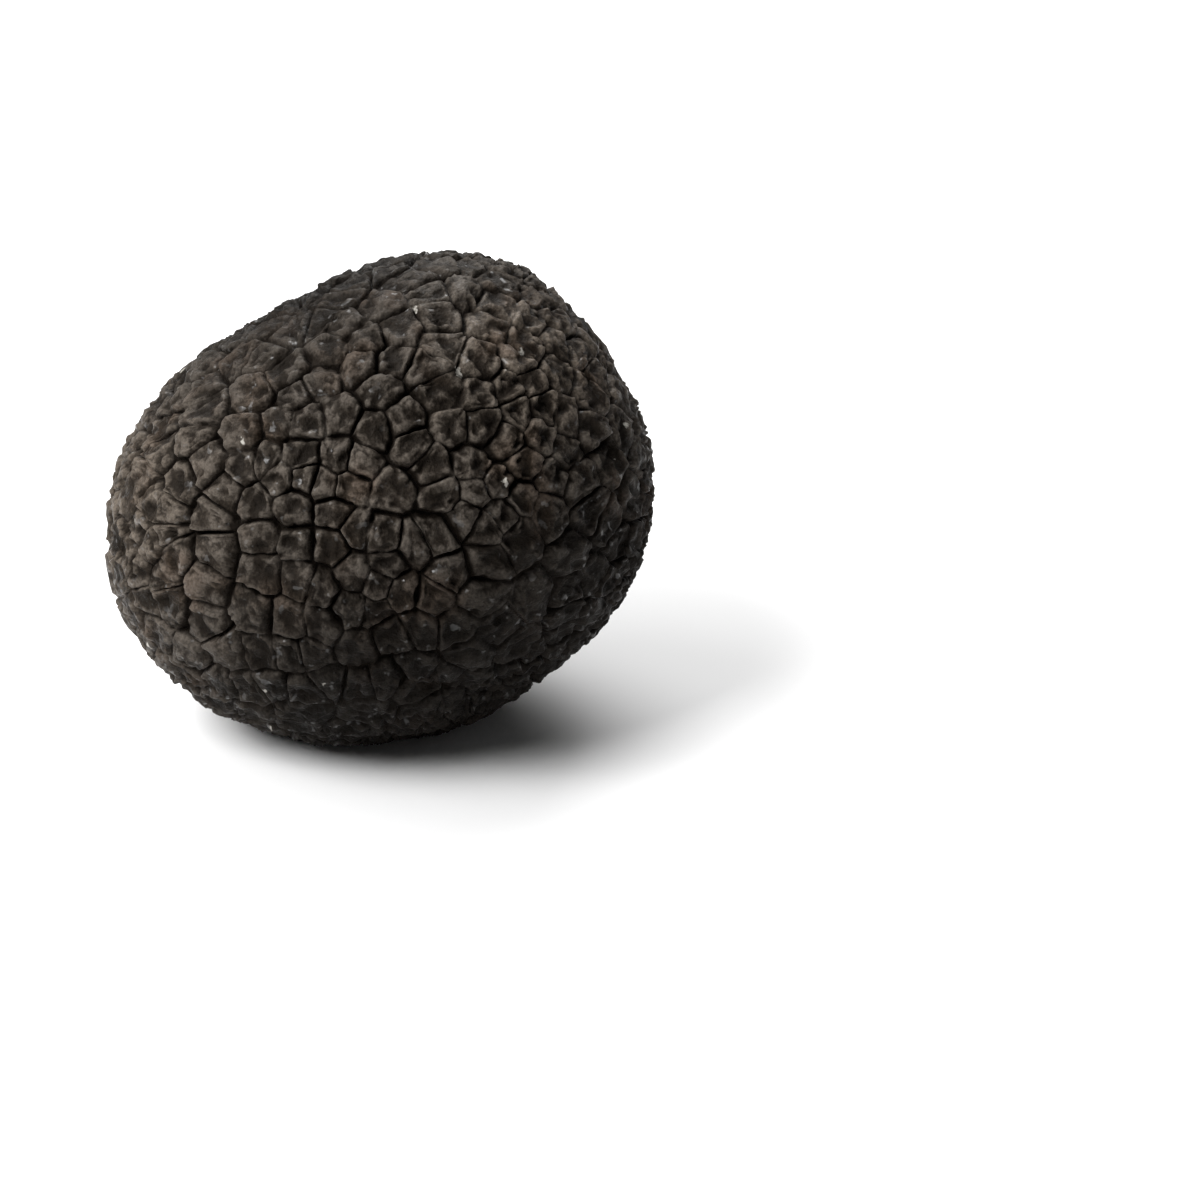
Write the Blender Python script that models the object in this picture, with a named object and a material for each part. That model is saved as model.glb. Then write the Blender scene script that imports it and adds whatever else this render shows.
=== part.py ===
"""A whole black truffle: one lumpy fruiting body, covered in low many-sided warts, on a small flat spot.

Metres, +Z up. The origin is on the table, under the middle of the truffle. The body is drawn round its
centre: a direction from there gives a distance, and the warts and grooves stand above and below that.
"""

import itertools
import math
import random

import bmesh
import bpy
import numpy as np
from mathutils import Vector, noise

MM = 0.001

# The body. OUTLINE is the distance from the centre to the edge, every 30 degrees anticlockwise from
# the right, as seen from the front, VIEW_TILT above the table and VIEW_DISTANCE away from the centre.
OUTLINE = [r * MM for r in (26.8, 26.7, 26.5, 23.8, 21.8, 23.9, 27.1, 27.9, 26.0, 23.9, 23.5, 25.0)]
VIEW_TILT = math.radians(24)
VIEW_DISTANCE = 0.41
HALF_DEPTH = 23.6 * MM
BACK_IS_DEEPER = 0.8 * MM
CENTRE = Vector((0.0, -1.0, 22.9)) * MM  # its height above the table sets how wide the flat spot is

# Broad swellings and hollows: the direction of each, its height, and its spread in degrees.
# A direction is an azimuth from +X and an elevation, in degrees.
SWELLINGS = (
    ((72, 8), 1.5 * MM, 34),
    ((122, -18), 1.2 * MM, 32),
    ((100, 38), -0.6 * MM, 24),
    ((38, -25), -0.8 * MM, 24),
    ((138, 15), -0.6 * MM, 24),
    ((-72, 2), 0.6 * MM, 28),
    ((15, -80), 0.5 * MM, 26),
)
UNDULATION = 0.4 * MM
UNDULATION_FREQUENCY = 2.3  # waves in one radius of the body
FOLD = ((-87, -8), (-83, -27), (-52, -38))  # a shallow crease, from point to point
FOLD_DEPTH = 0.7 * MM
FOLD_SPREAD = math.radians(4.5)

# The layout of the warts.
WARTS = 655
SEED = 11
SPACING_ROUNDS = 2  # rounds of evening out their spacing
CROWDS = (  # where warts are smaller and closer, or larger: extra share of warts, spread in degrees
    ((60, -10), 0.4, 28),
    ((150, 35), -0.15, 30),
    ((10, 15), 0.2, 22),
)
MOST_CROWDED = (29.0 * MM) ** 2 * 1.8  # no lower than the wart density anywhere
# The warts of the front, as seen from there: places across and up from the centre, in millimetres.
FRONT_WARTS = (
    (-6.8, 20.0), (-2.2, 21.2), (0.5, 22.1), (3.4, 21.4), (6.3, 23.0), (8.7, 23.0), (12.1, 21.4),
    (-9.3, 18.6), (-3.6, 19.3), (0.4, 18.9), (5.6, 20.3), (8.8, 20.4), (12.0, 19.1), (-11.2, 16.9),
    (-8.1, 16.6), (-5.0, 17.4), (-2.7, 17.0), (2.7, 16.8), (6.5, 17.9), (11.2, 17.0), (15.3, 17.4),
    (17.8, 17.6), (-14.0, 15.6), (-4.3, 14.7), (-0.7, 15.7), (7.1, 15.1), (15.2, 15.0), (17.5, 15.6),
    (20.3, 14.3), (-19.4, 11.9), (-16.8, 13.3), (-13.9, 13.6), (-11.2, 13.8), (-8.9, 12.5), (-1.2, 13.3),
    (2.4, 13.8), (5.5, 12.9), (10.8, 13.4), (14.4, 13.3), (17.9, 12.5), (21.7, 12.6), (-20.4, 9.3),
    (-17.2, 10.8), (-12.3, 10.4), (-8.0, 10.0), (-5.3, 11.6), (1.1, 10.8), (7.0, 10.7), (11.0, 10.0),
    (13.6, 10.7), (15.6, 11.2), (21.2, 9.8), (23.7, 10.6), (-21.3, 7.3), (-17.2, 8.3), (-9.5, 7.5),
    (-6.9, 7.3), (-3.1, 8.2), (0.4, 6.7), (3.7, 7.9), (8.1, 6.9), (11.4, 7.3), (14.7, 8.4), (17.1, 8.6),
    (19.2, 7.9), (-24.7, 5.6), (-18.0, 5.9), (-13.3, 6.2), (4.7, 4.9), (13.8, 5.4), (16.9, 6.3),
    (21.6, 6.8), (24.2, 6.4), (-21.9, 4.2), (-16.8, 3.2), (-13.4, 2.9), (-10.9, 3.4), (-7.5, 4.0),
    (-3.4, 3.8), (-0.9, 3.3), (6.3, 3.2), (10.4, 3.2), (15.2, 3.3), (19.3, 4.4), (23.0, 3.9),
    (-25.6, 2.6), (-23.0, 1.9), (-19.4, 1.3), (-15.0, 0.5), (-9.5, 1.8), (-7.1, 1.6), (-4.6, 1.0),
    (-2.2, 0.8), (2.3, 0.3), (7.6, -0.3), (10.6, 0.2), (13.0, 1.2), (14.8, -0.4), (18.0, 1.6),
    (-26.4, -1.0), (-24.6, 0.1), (-22.6, -0.7), (-20.7, -1.7), (-11.9, -1.0), (-8.0, -1.3), (-3.8, -1.9),
    (9.4, -2.3), (13.1, -2.1), (17.6, -1.6), (-25.8, -3.8), (-23.6, -2.9), (-20.9, -3.9), (-16.3, -2.3),
    (-1.6, -3.8), (1.3, -4.3), (4.4, -5.2), (6.7, -4.0), (11.5, -3.4), (-24.7, -5.6), (-22.5, -5.3),
    (-20.3, -5.9), (-16.2, -5.4), (-11.4, -4.4), (-7.6, -5.1), (-4.3, -5.5), (11.6, -6.5), (14.7, -4.4),
    (-25.6, -8.2), (-23.3, -7.5), (-21.2, -8.0), (-17.2, -9.0), (-11.2, -7.8), (-7.4, -8.8), (-5.3, -9.7),
    (-1.8, -8.2), (1.9, -7.2), (0.8, -9.2), (3.2, -9.9), (7.9, -8.0), (6.4, -10.2), (-24.5, -11.0),
    (-22.4, -10.3), (-20.5, -10.4), (-17.1, -12.3), (-12.2, -11.8), (-8.5, -12.4), (-5.1, -12.9),
    (-2.1, -11.5), (0.5, -11.7), (4.8, -13.2), (8.4, -12.9), (10.7, -10.2), (-21.6, -13.2), (-18.6, -15.6),
    (-14.7, -15.3), (-11.4, -15.8), (-8.5, -16.0), (-6.0, -15.9), (-1.7, -15.4), (2.1, -14.4), (4.1, -17.2),
    (-15.6, -18.4), (-12.8, -18.9), (-9.9, -18.8), (-7.3, -19.2), (-4.5, -18.3), (-1.5, -18.6), (0.9, -18.3),
    (7.3, -17.6),
)
# The main furrows of the front, in the same way, each from point to point.
FURROWS = (
    ((-17.2, 0.4), (-18.7, -1.1), (-18.9, -2.6), (-18.5, -5.4), (-19.5, -7.6), (-18.8, -10.5), (-19.2, -13.0)),
    ((-15.0, 2.3), (-16.6, 0.8), (-17.2, 0.4)),
    ((-21.1, 1.7), (-20.0, 3.8), (-20.4, 5.8), (-19.2, 8.4), (-18.9, 10.3)),
    ((-18.9, 3.4), (-17.6, 1.2)),
    ((-15.6, 3.8), (-15.9, 5.4), (-15.0, 7.9)),
    ((-13.6, 0.8), (-13.9, -3.8), (-13.2, -6.0), (-13.9, -9.0), (-14.6, -12.6), (-16.3, -16.4)),
    ((-9.0, 11.0), (-10.9, 8.6), (-10.9, 6.5), (-12.2, 4.4)),
    ((-6.8, 14.2), (-7.8, 11.2)),
    ((-12.6, 0.6), (-10.9, 0.9), (-9.0, 0.5), (-6.3, -0.2)),
    ((-12.6, -2.6), (-10.4, -2.6), (-9.2, -3.3), (-6.1, -2.8)),
    ((-8.9, 5.2), (-6.0, 5.0), (-5.8, 0.6), (-6.0, -3.2), (-5.8, -7.0), (-3.7, -8.8), (-3.5, -12.8)),
    ((-4.6, -3.4), (-2.5, -5.9), (-3.7, -7.5)),
    ((-2.5, -6.2), (-1.0, -5.9)),
    ((-5.0, -0.7), (-1.9, -0.7)),
    ((-3.9, 5.4), (-1.9, 5.4)),
    ((-2.6, 11.4), (-0.3, 8.4), (-1.4, 6.2)),
    ((0.4, 8.6), (2.0, 6.6)),
    ((4.2, 11.2), (4.4, 9.8), (5.8, 7.2)),
    ((2.2, 4.9), (5.2, 6.5)),
    ((-0.9, 0.2), (-0.4, 2.3), (1.2, 3.7), (3.2, 3.1), (4.8, 1.3), (7.2, 1.5), (7.8, 4.2)),
    ((0.5, -2.2), (3.4, -2.6), (6.0, -1.2), (6.0, 0.8)),
    ((6.2, -2.2), (8.2, -3.2), (9.5, -6.3), (11.2, -9.2)),
    ((3.0, -3.2), (3.3, -7.1), (5.1, -10.8)),
    ((5.2, -7.3), (8.4, -6.0)),
    ((8.4, 5.1), (12.2, 5.1), (13.3, 3.2)),
    ((13.0, 14.2), (12.4, 11.9)),
    ((0.9, 15.8), (0.6, 13.2)),
    ((-5.7, 14.0), (-3.7, 13.2)),
    ((16.3, 12.8), (16.8, 11.0)),
    ((19.0, 9.8), (20.8, 7.6)),
    ((20.4, 5.2), (22.6, 5.1)),
    ((14.4, 1.2), (16.5, 1.3)),
    ((-12.9, -9.9), (-10.6, -10.1), (-9.7, -11.2), (-9.9, -13.6)),
    ((-8.4, -8.2), (-9.2, -10.4)),
    ((-17.6, -4.0), (-15.6, -4.0)),
    ((1.0, -13.8), (1.2, -15.8), (3.0, -18.9), (8.6, -19.2)),
)
CLEAR_OF_FRONT = 3.4 * MM  # no other wart is drawn nearer than this to those of the front
LEAST_SIDE = 0.55 * MM  # a shorter side of a wart is closed up
WANDER = 0.35 * MM  # how far the grooves stray from straight lines
WANDER_FREQUENCY = 6.0

# The height of the warts, from the level of their tops.
PEAK_RISE = (-0.25 * MM, 0.35 * MM)
PEAK_SHIFT = 0.13  # share of the wart's radius that its peak stands off its middle
SHOULDER_DROP = (0.05 * MM, 0.30 * MM)
SHOULDER_AT = 0.79  # share of the way from the peak to the groove
GROOVE_DEPTH = (0.45 * MM, 0.85 * MM)
FURROW_EXTRA = 0.6 * MM  # the main furrows are deeper than the other grooves
FURROW_REACH = 1.0 * MM  # how far from its line a furrow of the front goes
OTHER_FURROWS = 1.7  # frequency of the furrows that run anywhere but at the front
OTHER_FURROWS_WIDTH = 0.10
EDGE_OF_FRONT = 0.45  # cosine of the angle from the view to where those begin

SKIN_COLOUR = (0.030, 0.025, 0.021, 1.0)
SKIN_ROUGHNESS = 0.62
SHARP_EDGE = math.radians(40)

RIGHT = Vector((1, 0, 0))
PICTURE_UP = Vector((0, math.sin(VIEW_TILT), math.cos(VIEW_TILT)))
TOWARDS = Vector((0, -math.cos(VIEW_TILT), math.sin(VIEW_TILT)))
MEAN_RADIUS = sum(OUTLINE) / len(OUTLINE)
OUTLINE_WAVES = np.fft.rfft(OUTLINE) / len(OUTLINE)


def pointing(azimuth, elevation):
    """The unit vector of a direction in degrees."""
    a, e = math.radians(azimuth), math.radians(elevation)
    return Vector((math.cos(a) * math.cos(e), math.sin(a) * math.cos(e), math.sin(e)))


def bump(way, direction, spread):
    """1 in a direction, falling off smoothly round it."""
    return math.exp(-((way.angle(pointing(*direction)) / math.radians(spread)) ** 2))


def angle_to_path(way, stops):
    """The angle from a unit vector to the nearest point of a path from stop to stop."""
    angles = []
    for a, b in zip(stops, stops[1:]):
        share = (way - a).dot(b - a) / (b - a).length_squared
        angles.append(way.angle(a.lerp(b, min(max(share, 0), 1))))
    return min(angles)


def outline_radius(angle):
    """A smooth closed curve through the outline's radii."""
    radius = OUTLINE_WAVES[0].real
    for wave, strength in enumerate(OUTLINE_WAVES[1:], 1):
        share = 1 if wave == len(OUTLINE) // 2 else 2
        radius += share * (strength * np.exp(1j * wave * angle)).real
    return radius


def seen_at(across, up):
    """The direction of the body's point that is seen from the front at a place, in millimetres there."""
    place = Vector((across, up)) * MM
    edge = outline_radius(math.atan2(up, across))
    towards = HALF_DEPTH * math.sqrt(1 - place.length_squared / edge**2)
    place *= 1 - towards / VIEW_DISTANCE
    return (RIGHT * place.x + PICTURE_UP * place.y + TOWARDS * towards).normalized()


def body_radius(way):
    """The distance from the centre to the level of the wart tops, along a unit vector."""
    across, up, towards = way.dot(RIGHT), way.dot(PICTURE_UP), way.dot(TOWARDS)
    depth = HALF_DEPTH - BACK_IS_DEEPER * towards
    edge = outline_radius(math.atan2(up, across))
    radius = 1 / math.sqrt((across**2 + up**2) / edge**2 + (towards / depth) ** 2)
    for direction, height, spread in SWELLINGS:
        radius += height * bump(way, direction, spread)
    fold = [pointing(*direction) for direction in FOLD]
    radius -= FOLD_DEPTH * math.exp(-((angle_to_path(way, fold) / FOLD_SPREAD) ** 2))
    return radius + UNDULATION * noise.noise(way * UNDULATION_FREQUENCY)


def strayed(way):
    """A direction led a little astray, smoothly."""
    spot = way * WANDER_FREQUENCY
    shift = Vector([noise.noise(spot + apart) for apart in (RIGHT * 7, PICTURE_UP * 7, TOWARDS * 7)])
    return (way + shift * WANDER / MEAN_RADIUS).normalized()


def surface_point(way, height):
    """The point at a height above the wart tops' level, or on the table if it would be lower."""
    way = strayed(way)
    reach = body_radius(way) + height
    if way.z < 0:
        reach = min(reach, -CENTRE.z / way.z)
    return CENTRE + way * reach


def furrow_depth(way):
    """The extra depth of a groove where one of the furrows runs."""
    off_line = 1
    if way.dot(TOWARDS) < EDGE_OF_FRONT:
        off_line = abs(noise.noise(way * OTHER_FURROWS)) / OTHER_FURROWS_WIDTH
    for line in FURROWS:
        angle = angle_to_path(way, [seen_at(*place) for place in line])
        off_line = min(off_line, (angle * MEAN_RADIUS / FURROW_REACH) ** 2)
    return FURROW_EXTRA * max(0, 1 - off_line)


def wart_density(way):
    """How close the warts are in a direction: alike over the body's true surface, but for the crowds."""
    extra = sum(share * bump(way, place, spread) for place, share, spread in CROWDS)
    return body_radius(way) ** 2 * (1 + extra)


def drawn_way(draw):
    """A direction at random, more often where warts are crowded."""
    while True:
        way = Vector([draw.gauss(0, 1) for _ in range(3)]).normalized()
        if draw.random() < wart_density(way) / MOST_CROWDED:
            return way


def meeting_warts(middles):
    """The warts that meet in threes, by number: the triangles of the hull of their middles."""
    hull = bmesh.new()
    number = {hull.verts.new(middle): wart for wart, middle in enumerate(middles)}
    bmesh.ops.convex_hull(hull, input=hull.verts)
    threes = sorted(tuple(sorted(number[vert] for vert in face.verts)) for face in hull.faces)
    hull.free()
    return threes


def meeting_way(middles, three):
    """The direction that is as far from each of three warts' middles as from the other two."""
    a, b, c = [middles[wart] for wart in three]
    way = (b - a).cross(c - a).normalized()
    return way if way.dot(a + b + c) > 0 else -way


def wart_middles():
    """A direction for each wart: those of the front, and the others drawn at random and then evened out."""
    draw = random.Random(SEED)
    front = [seen_at(*place) for place in FRONT_WARTS]
    middles = list(front)
    while len(middles) < WARTS:
        way = drawn_way(draw)
        if all(way.angle(other) * MEAN_RADIUS > CLEAR_OF_FRONT for other in front):
            middles.append(way)
    for _ in range(SPACING_ROUNDS):
        corners_sum = [Vector() for _ in middles]
        for three in meeting_warts(middles):
            for wart in three:
                corners_sum[wart] += meeting_way(middles, three)
        middles = front + [total.normalized() for total in corners_sum[len(front):]]
    return middles


def joined_corners(threes, ways):
    """For each corner, the number of the one that stands for it. Two at a too short side are one."""
    stands_for = list(range(len(ways)))

    def first(corner):
        while stands_for[corner] != corner:
            corner = stands_for[corner]
        return corner

    side_end = {}
    for corner, three in enumerate(threes):
        for side in itertools.combinations(three, 2):
            other = side_end.setdefault(side, corner)
            if other != corner and ways[corner].angle(ways[other]) * MEAN_RADIUS < LEAST_SIDE:
                stands_for[first(corner)] = first(other)
    return [first(corner) for corner in range(len(ways))]


def wart_layout():
    """Each wart's middle with the corners round it, anticlockwise from outside, and the corners' ways."""
    middles = wart_middles()
    threes = meeting_warts(middles)
    ways = [meeting_way(middles, three) for three in threes]
    stands_for = joined_corners(threes, ways)

    joined = {}
    around = [[] for _ in middles]
    for corner, three in enumerate(threes):
        joined.setdefault(stands_for[corner], []).append(ways[corner])
        for wart in three:
            around[wart].append(corner)
    corner_way = {corner: sum(joined[corner], Vector()).normalized() for corner in sorted(joined)}

    warts = []
    for middle, corners in zip(middles, around):
        east = middle.orthogonal().normalized()
        north = middle.cross(east)
        corners.sort(key=lambda corner: math.atan2(ways[corner].dot(north), ways[corner].dot(east)))
        ring = [stands_for[corner] for corner in corners]
        ring = [corner for corner, before in zip(ring, ring[-1:] + ring[:-1]) if corner != before]
        if len(ring) > 2:
            warts.append((middle, ring))
    return warts, corner_way


def truffle_mesh():
    """The whole skin as one closed bmesh: the groove corners, and each wart's shoulders and peak."""
    draw = random.Random(SEED + 1)
    warts, corner_way = wart_layout()
    skin = bmesh.new()

    groove = {}
    for corner, way in corner_way.items():
        depth = draw.uniform(*GROOVE_DEPTH) + furrow_depth(way)
        groove[corner] = skin.verts.new(surface_point(way, -depth))

    for middle, ring in warts:
        size = sum(corner_way[corner].angle(middle) for corner in ring) / len(ring)
        lean = Vector([draw.gauss(0, 1) for _ in range(3)]) * PEAK_SHIFT * size
        middle = (middle + lean).normalized()
        peak = skin.verts.new(surface_point(middle, draw.uniform(*PEAK_RISE)))
        drop = draw.uniform(*SHOULDER_DROP)
        shoulders = []
        for corner in ring:
            way = middle.lerp(corner_way[corner], SHOULDER_AT).normalized()
            shoulders.append(skin.verts.new(surface_point(way, -drop)))
        for k, corner in enumerate(ring):
            after = (k + 1) % len(ring)
            skin.faces.new((peak, shoulders[k], shoulders[after]))
            skin.faces.new((shoulders[k], groove[corner], groove[ring[after]], shoulders[after]))
    return skin


def skin_material():
    material = bpy.data.materials.new("skin")
    material.use_nodes = True
    shader = material.node_tree.nodes["Principled BSDF"]
    shader.inputs["Base Color"].default_value = SKIN_COLOUR
    shader.inputs["Roughness"].default_value = SKIN_ROUGHNESS
    shader.inputs["Metallic"].default_value = 0.0
    return material


def make_truffle():
    skin = truffle_mesh()
    mesh = bpy.data.meshes.new("truffle")
    skin.to_mesh(mesh)
    skin.free()
    mesh.shade_smooth()
    mesh.set_sharp_from_angle(angle=SHARP_EDGE)
    mesh.materials.append(skin_material())
    truffle = bpy.data.objects.new("truffle", mesh)
    bpy.context.scene.collection.objects.link(truffle)


for old in list(bpy.data.objects):
    bpy.data.objects.remove(old, do_unlink=True)
make_truffle()
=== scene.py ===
"""The looks of the black truffle: its skin worked out finely on the solid's own warts, its finish and light.

Metres, +Z up, in the solid's frame. The body, the layout of the warts and their random draws are the
same as the solid's, so each fine wart stands where the solid's wart does.
"""

import itertools
import math
import random

import bmesh
import bpy
import numpy as np
from mathutils import Matrix, Vector, noise


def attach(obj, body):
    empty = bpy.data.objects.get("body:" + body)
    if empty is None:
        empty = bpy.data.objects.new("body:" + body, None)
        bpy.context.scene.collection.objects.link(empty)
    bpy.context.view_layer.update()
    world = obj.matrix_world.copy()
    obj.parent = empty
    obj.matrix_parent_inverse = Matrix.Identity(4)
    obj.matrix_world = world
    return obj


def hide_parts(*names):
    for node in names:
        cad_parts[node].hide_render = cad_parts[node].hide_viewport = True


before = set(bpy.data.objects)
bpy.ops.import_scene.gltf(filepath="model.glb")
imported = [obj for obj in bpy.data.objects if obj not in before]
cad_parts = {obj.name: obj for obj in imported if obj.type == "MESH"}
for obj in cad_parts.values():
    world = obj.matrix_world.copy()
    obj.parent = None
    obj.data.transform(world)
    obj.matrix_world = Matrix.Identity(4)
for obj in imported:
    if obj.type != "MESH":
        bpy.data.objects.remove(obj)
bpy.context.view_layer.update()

MM = 0.001

# The body, as in the solid.
OUTLINE = [r * MM for r in (26.8, 26.7, 26.5, 23.8, 21.8, 23.9, 27.1, 27.9, 26.0, 23.9, 23.5, 25.0)]
VIEW_TILT = math.radians(24)
VIEW_DISTANCE = 0.41
HALF_DEPTH = 23.6 * MM
BACK_IS_DEEPER = 0.8 * MM
CENTRE = Vector((0.0, -1.0, 22.9)) * MM
SWELLINGS = (
    ((72, 8), 1.5 * MM, 34),
    ((122, -18), 1.2 * MM, 32),
    ((100, 38), -0.6 * MM, 24),
    ((38, -25), -0.8 * MM, 24),
    ((138, 15), -0.6 * MM, 24),
    ((-72, 2), 0.6 * MM, 28),
    ((15, -80), 0.5 * MM, 26),
)
UNDULATION = 0.4 * MM
UNDULATION_FREQUENCY = 2.3
FOLD = ((-87, -8), (-83, -27), (-52, -38))
FOLD_DEPTH = 0.7 * MM
FOLD_SPREAD = math.radians(4.5)

# The layout of the warts, as in the solid.
WARTS = 655
SEED = 11
SPACING_ROUNDS = 2
CROWDS = (
    ((60, -10), 0.4, 28),
    ((150, 35), -0.15, 30),
    ((10, 15), 0.2, 22),
)
MOST_CROWDED = (29.0 * MM) ** 2 * 1.8
# The warts of the front, as seen from there: places across and up from the centre, in millimetres.
FRONT_WARTS = (
    (-6.8, 20.0), (-2.2, 21.2), (0.5, 22.1), (3.4, 21.4), (6.3, 23.0), (8.7, 23.0), (12.1, 21.4),
    (-9.3, 18.6), (-3.6, 19.3), (0.4, 18.9), (5.6, 20.3), (8.8, 20.4), (12.0, 19.1), (-11.2, 16.9),
    (-8.1, 16.6), (-5.0, 17.4), (-2.7, 17.0), (2.7, 16.8), (6.5, 17.9), (11.2, 17.0), (15.3, 17.4),
    (17.8, 17.6), (-14.0, 15.6), (-4.3, 14.7), (-0.7, 15.7), (7.1, 15.1), (15.2, 15.0), (17.5, 15.6),
    (20.3, 14.3), (-19.4, 11.9), (-16.8, 13.3), (-13.9, 13.6), (-11.2, 13.8), (-8.9, 12.5), (-1.2, 13.3),
    (2.4, 13.8), (5.5, 12.9), (10.8, 13.4), (14.4, 13.3), (17.9, 12.5), (21.7, 12.6), (-20.4, 9.3),
    (-17.2, 10.8), (-12.3, 10.4), (-8.0, 10.0), (-5.3, 11.6), (1.1, 10.8), (7.0, 10.7), (11.0, 10.0),
    (13.6, 10.7), (15.6, 11.2), (21.2, 9.8), (23.7, 10.6), (-21.3, 7.3), (-17.2, 8.3), (-9.5, 7.5),
    (-6.9, 7.3), (-3.1, 8.2), (0.4, 6.7), (3.7, 7.9), (8.1, 6.9), (11.4, 7.3), (14.7, 8.4), (17.1, 8.6),
    (19.2, 7.9), (-24.7, 5.6), (-18.0, 5.9), (-13.3, 6.2), (4.7, 4.9), (13.8, 5.4), (16.9, 6.3),
    (21.6, 6.8), (24.2, 6.4), (-21.9, 4.2), (-16.8, 3.2), (-13.4, 2.9), (-10.9, 3.4), (-7.5, 4.0),
    (-3.4, 3.8), (-0.9, 3.3), (6.3, 3.2), (10.4, 3.2), (15.2, 3.3), (19.3, 4.4), (23.0, 3.9),
    (-25.6, 2.6), (-23.0, 1.9), (-19.4, 1.3), (-15.0, 0.5), (-9.5, 1.8), (-7.1, 1.6), (-4.6, 1.0),
    (-2.2, 0.8), (2.3, 0.3), (7.6, -0.3), (10.6, 0.2), (13.0, 1.2), (14.8, -0.4), (18.0, 1.6),
    (-26.4, -1.0), (-24.6, 0.1), (-22.6, -0.7), (-20.7, -1.7), (-11.9, -1.0), (-8.0, -1.3), (-3.8, -1.9),
    (9.4, -2.3), (13.1, -2.1), (17.6, -1.6), (-25.8, -3.8), (-23.6, -2.9), (-20.9, -3.9), (-16.3, -2.3),
    (-1.6, -3.8), (1.3, -4.3), (4.4, -5.2), (6.7, -4.0), (11.5, -3.4), (-24.7, -5.6), (-22.5, -5.3),
    (-20.3, -5.9), (-16.2, -5.4), (-11.4, -4.4), (-7.6, -5.1), (-4.3, -5.5), (11.6, -6.5), (14.7, -4.4),
    (-25.6, -8.2), (-23.3, -7.5), (-21.2, -8.0), (-17.2, -9.0), (-11.2, -7.8), (-7.4, -8.8), (-5.3, -9.7),
    (-1.8, -8.2), (1.9, -7.2), (0.8, -9.2), (3.2, -9.9), (7.9, -8.0), (6.4, -10.2), (-24.5, -11.0),
    (-22.4, -10.3), (-20.5, -10.4), (-17.1, -12.3), (-12.2, -11.8), (-8.5, -12.4), (-5.1, -12.9),
    (-2.1, -11.5), (0.5, -11.7), (4.8, -13.2), (8.4, -12.9), (10.7, -10.2), (-21.6, -13.2), (-18.6, -15.6),
    (-14.7, -15.3), (-11.4, -15.8), (-8.5, -16.0), (-6.0, -15.9), (-1.7, -15.4), (2.1, -14.4), (4.1, -17.2),
    (-15.6, -18.4), (-12.8, -18.9), (-9.9, -18.8), (-7.3, -19.2), (-4.5, -18.3), (-1.5, -18.6), (0.9, -18.3),
    (7.3, -17.6),
)
# The main furrows of the front, in the same way, each from point to point.
FURROWS = (
    ((-17.2, 0.4), (-18.7, -1.1), (-18.9, -2.6), (-18.5, -5.4), (-19.5, -7.6), (-18.8, -10.5), (-19.2, -13.0)),
    ((-15.0, 2.3), (-16.6, 0.8), (-17.2, 0.4)),
    ((-21.1, 1.7), (-20.0, 3.8), (-20.4, 5.8), (-19.2, 8.4), (-18.9, 10.3)),
    ((-18.9, 3.4), (-17.6, 1.2)),
    ((-15.6, 3.8), (-15.9, 5.4), (-15.0, 7.9)),
    ((-13.6, 0.8), (-13.9, -3.8), (-13.2, -6.0), (-13.9, -9.0), (-14.6, -12.6), (-16.3, -16.4)),
    ((-9.0, 11.0), (-10.9, 8.6), (-10.9, 6.5), (-12.2, 4.4)),
    ((-6.8, 14.2), (-7.8, 11.2)),
    ((-12.6, 0.6), (-10.9, 0.9), (-9.0, 0.5), (-6.3, -0.2)),
    ((-12.6, -2.6), (-10.4, -2.6), (-9.2, -3.3), (-6.1, -2.8)),
    ((-8.9, 5.2), (-6.0, 5.0), (-5.8, 0.6), (-6.0, -3.2), (-5.8, -7.0), (-3.7, -8.8), (-3.5, -12.8)),
    ((-4.6, -3.4), (-2.5, -5.9), (-3.7, -7.5)),
    ((-2.5, -6.2), (-1.0, -5.9)),
    ((-5.0, -0.7), (-1.9, -0.7)),
    ((-3.9, 5.4), (-1.9, 5.4)),
    ((-2.6, 11.4), (-0.3, 8.4), (-1.4, 6.2)),
    ((0.4, 8.6), (2.0, 6.6)),
    ((4.2, 11.2), (4.4, 9.8), (5.8, 7.2)),
    ((2.2, 4.9), (5.2, 6.5)),
    ((-0.9, 0.2), (-0.4, 2.3), (1.2, 3.7), (3.2, 3.1), (4.8, 1.3), (7.2, 1.5), (7.8, 4.2)),
    ((0.5, -2.2), (3.4, -2.6), (6.0, -1.2), (6.0, 0.8)),
    ((6.2, -2.2), (8.2, -3.2), (9.5, -6.3), (11.2, -9.2)),
    ((3.0, -3.2), (3.3, -7.1), (5.1, -10.8)),
    ((5.2, -7.3), (8.4, -6.0)),
    ((8.4, 5.1), (12.2, 5.1), (13.3, 3.2)),
    ((13.0, 14.2), (12.4, 11.9)),
    ((0.9, 15.8), (0.6, 13.2)),
    ((-5.7, 14.0), (-3.7, 13.2)),
    ((16.3, 12.8), (16.8, 11.0)),
    ((19.0, 9.8), (20.8, 7.6)),
    ((20.4, 5.2), (22.6, 5.1)),
    ((14.4, 1.2), (16.5, 1.3)),
    ((-12.9, -9.9), (-10.6, -10.1), (-9.7, -11.2), (-9.9, -13.6)),
    ((-8.4, -8.2), (-9.2, -10.4)),
    ((-17.6, -4.0), (-15.6, -4.0)),
    ((1.0, -13.8), (1.2, -15.8), (3.0, -18.9), (8.6, -19.2)),
)
CLEAR_OF_FRONT = 3.4 * MM
LEAST_SIDE = 0.55 * MM
WANDER = 0.35 * MM
WANDER_FREQUENCY = 6.0

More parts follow.
